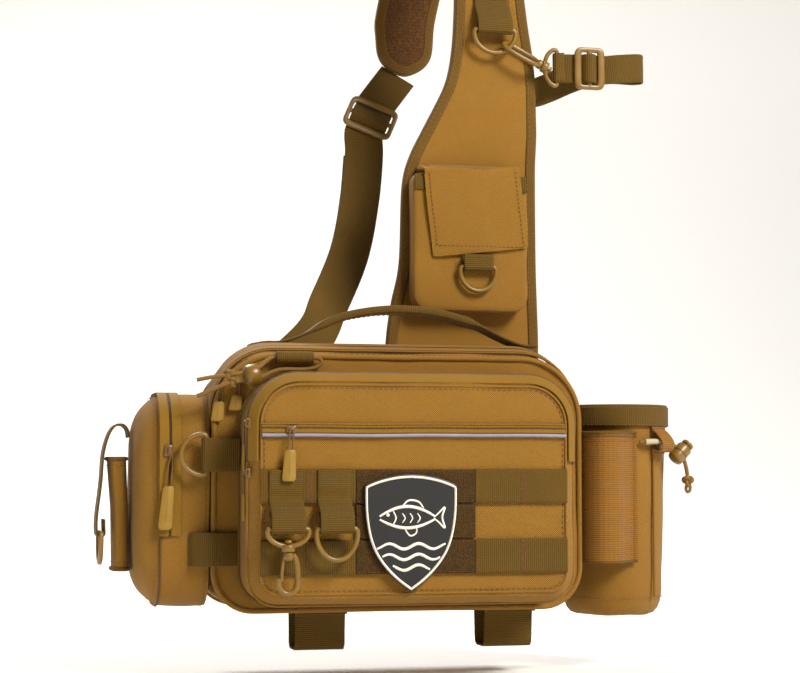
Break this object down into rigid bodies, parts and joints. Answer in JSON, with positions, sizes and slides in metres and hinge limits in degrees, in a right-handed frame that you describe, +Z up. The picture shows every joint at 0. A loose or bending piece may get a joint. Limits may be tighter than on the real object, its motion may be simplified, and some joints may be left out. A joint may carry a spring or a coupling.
{
  "type": "fishing tackle sling bag",
  "caption": "Padded single-strap sling bag with a zipped main compartment, front pocket, side pouch, bottle pocket, webbing rows, rings and a swivel hook.",
  "frame": {"origin": "underside of the shoulder pad at the top of the strap's arch, where it rests on a shoulder", "axes": "+Z up, -Y towards the bag's front, +X towards the bottle pocket"},
  "size_m": [0.4578, 0.3214, 0.6043],
  "materials": {
    "cloth": "coated oxford weave",
    "webbing": "ribbed nylon webbing",
    "tape": "woven tape",
    "elastic": "ribbed elastic",
    "loop_field": "brushed loop pile",
    "piping": "reflective piping",
    "patch": "moulded soft rubber",
    "plastic": "moulded acetal",
    "pull": "moulded soft rubber",
    "cord": "braided elastic cord"
  },
  "bodies": {
    "bag": {"main_shell": "cloth", "front_pocket": "cloth", "side_pouch": "cloth", "tool_sheath": "cloth", "bottle_pocket": "cloth", "shoulder_pad": "cloth", "phone_pouch": "cloth", "phone_flap": "cloth", "molle_upper_left": "webbing", "molle_upper_right": "webbing", "molle_lower_left": "webbing", "molle_lower_right": "webbing", "hook_tab": "webbing", "ring_tab": "webbing", "side_ring_tab": "webbing", "side_keeper": "webbing", "sheath_tab": "webbing", "bottle_hem": "webbing", "drawcord_tab": "webbing", "bottom_loop_left": "webbing", "bottom_loop_right": "webbing", "carry_handle": "webbing", "compress_tab": "webbing", "phone_ring_tab": "webbing", "strap_ring_tab": "webbing", "rod_loop_strap": "webbing", "strap_webbing": "webbing", "strap_end_tab": "webbing", "main_zip": "tape", "front_pocket_zip": "tape", "front_panel_zip": "tape", "side_pouch_zip": "tape", "pad_binding": "tape", "rod_sleeve": "elastic", "loop_field": "loop_field", "reflective_piping": "piping", "shield_patch": "patch", "cord_lock": "plastic", "compress_toggle": "plastic", "strap_d_ring": "plastic", "strap_clip": "plastic", "clip_eye": "plastic", "rod_loop_slider": "plastic", "strap_slider": "plastic", "strap_end_ring": "plastic", "front_panel_pull": "pull", "front_pocket_pull_upper": "pull", "front_pocket_pull_lower": "pull", "side_pouch_pull": "pull", "main_pull_left": "pull", "main_pull_right": "pull", "drawcord": "cord", "drawcord_knot": "cord", "compress_cord": "cord"},
    "front_ring": {"front_d_ring": "plastic"},
    "phone_ring": {"phone_d_ring": "plastic"},
    "side_ring": {"side_d_ring": "plastic"},
    "sheath_ring": {"sheath_d_ring": "plastic"},
    "eye": {"hook_eye": "plastic"},
    "hook": {"swivel_hook": "plastic"}
  },
  "joints": [
    {"name": "front_ring_swing", "type": "hinge", "parent": "bag", "child": "front_ring", "pos_m": [-0.1405, -0.2436, -0.5045], "axis": [-1, 0, 0], "range_deg": [0, 120]},
    {"name": "phone_ring_swing", "type": "hinge", "parent": "bag", "child": "phone_ring", "pos_m": [0.001, -0.1022, -0.3025], "axis": [-1, 0, 0], "range_deg": [0, 120]},
    {"name": "side_ring_swing", "type": "hinge", "parent": "bag", "child": "side_ring", "pos_m": [-0.2255, -0.1865, -0.4525], "axis": [0, 0, 1], "range_deg": [0, 110]},
    {"name": "sheath_ring_swing", "type": "hinge", "parent": "bag", "child": "sheath_ring", "pos_m": [-0.2969, -0.1333, -0.5095], "axis": [0, 1, 0], "range_deg": [0, 120]},
    {"name": "hook_eye_swing", "type": "hinge", "parent": "bag", "child": "eye", "pos_m": [-0.175, -0.2436, -0.5045], "axis": [-1, 0, 0], "range_deg": [0, 120]},
    {"name": "hook_swivel", "type": "hinge", "parent": "eye", "child": "hook", "pos_m": [-0.175, -0.2436, -0.5205], "axis": [0, 0, 1], "continuous": true}
  ]
}
